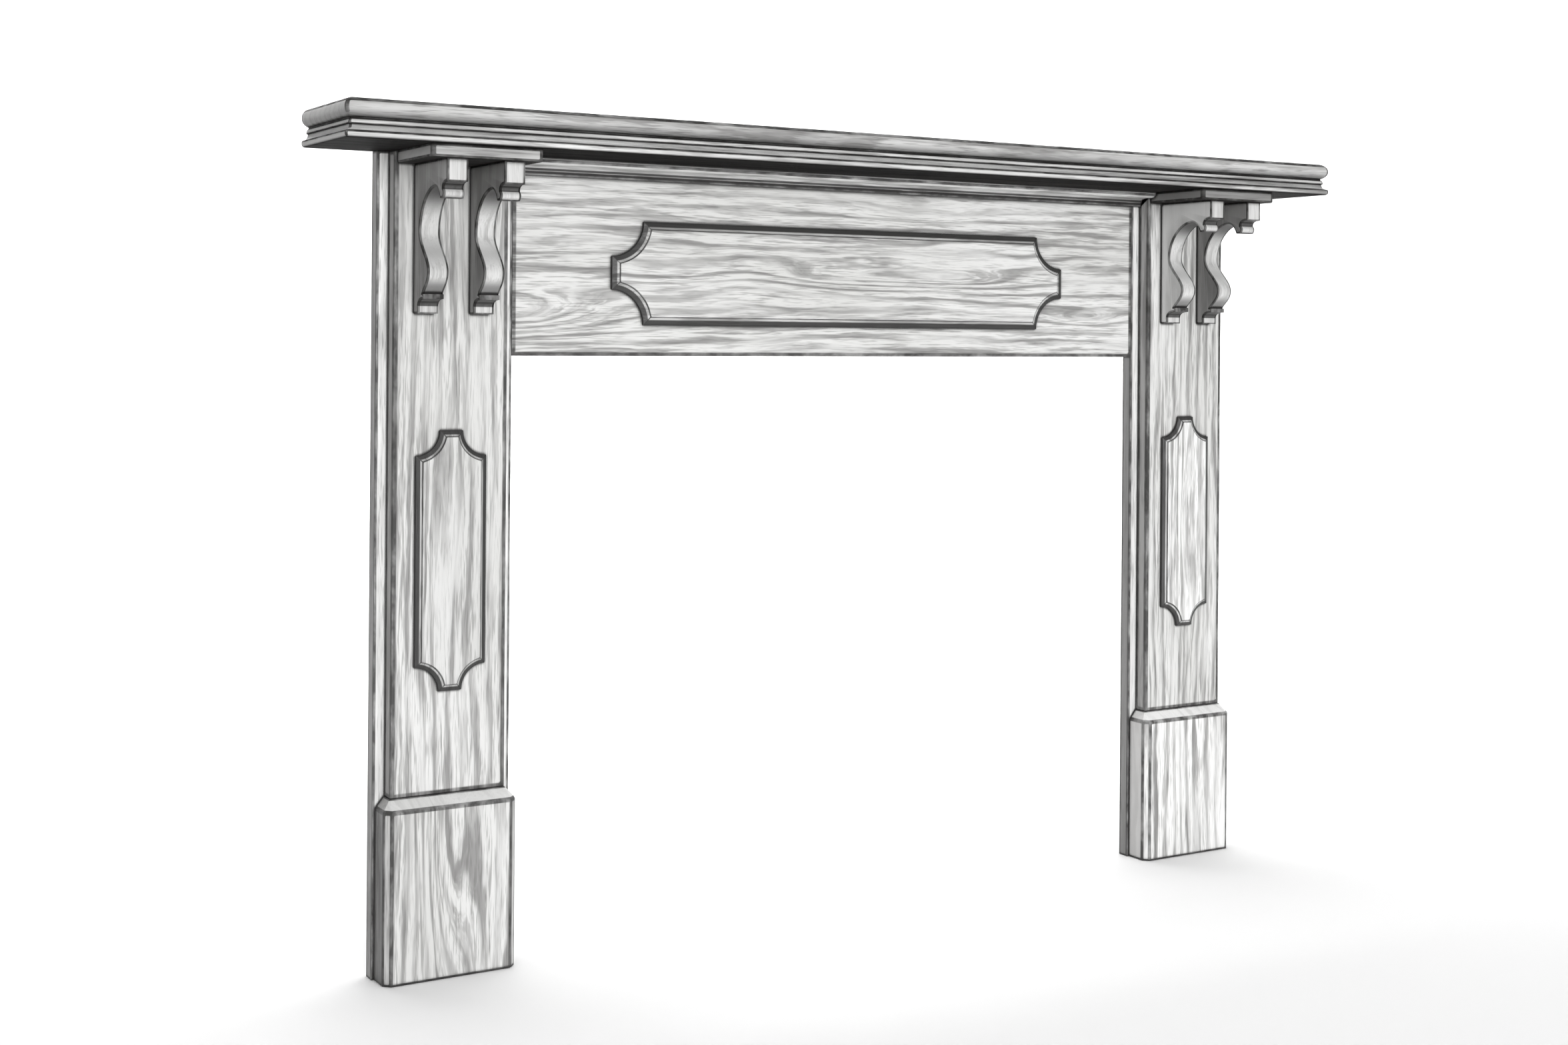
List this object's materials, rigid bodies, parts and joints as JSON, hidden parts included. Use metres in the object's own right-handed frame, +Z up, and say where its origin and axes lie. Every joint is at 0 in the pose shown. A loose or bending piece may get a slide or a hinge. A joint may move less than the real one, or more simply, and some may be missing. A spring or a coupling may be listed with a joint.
{
  "type": "fireplace mantelpiece",
  "caption": "Limed oak fireplace surround: panelled legs on plinth blocks, panelled frieze, and a moulded shelf carried on scrolled corbels.",
  "frame": {"origin": "middle of the frieze's back, on the wall plane, 1064 mm above the floor and half way between the legs", "axes": "+X along the shelf to the right as seen from the room, +Y into the wall, +Z up"},
  "size_m": [1.86, 0.196, 1.27],
  "materials": {
    "shelf_oak": "pale limed oak, open grain along the shelf, satin wax",
    "frieze_oak": "pale limed oak, grain lying along the frieze, satin wax",
    "panel_oak": "pale limed oak, cathedral grain, satin wax",
    "leg_oak": "pale limed oak, upright grain, satin wax",
    "corbel_oak": "pale limed oak, carved, upright grain, satin wax"
  },
  "bodies": {
    "root": {"mantel_shelf": "shelf_oak", "shelf_moulding": "shelf_oak", "bed_moulding": "shelf_oak", "cap_left": "shelf_oak", "cap_right": "shelf_oak", "frieze_board": "frieze_oak", "frieze_panel": "panel_oak", "pilaster_panel_left": "panel_oak", "pilaster_panel_right": "panel_oak", "leg_board_left": "leg_oak", "pilaster_left": "leg_oak", "plinth_block_left": "leg_oak", "corbel_left_outer": "corbel_oak", "corbel_left_inner": "corbel_oak", "leg_board_right": "leg_oak", "pilaster_right": "leg_oak", "plinth_block_right": "leg_oak", "corbel_right_outer": "corbel_oak", "corbel_right_inner": "corbel_oak"}
  },
  "joints": []
}
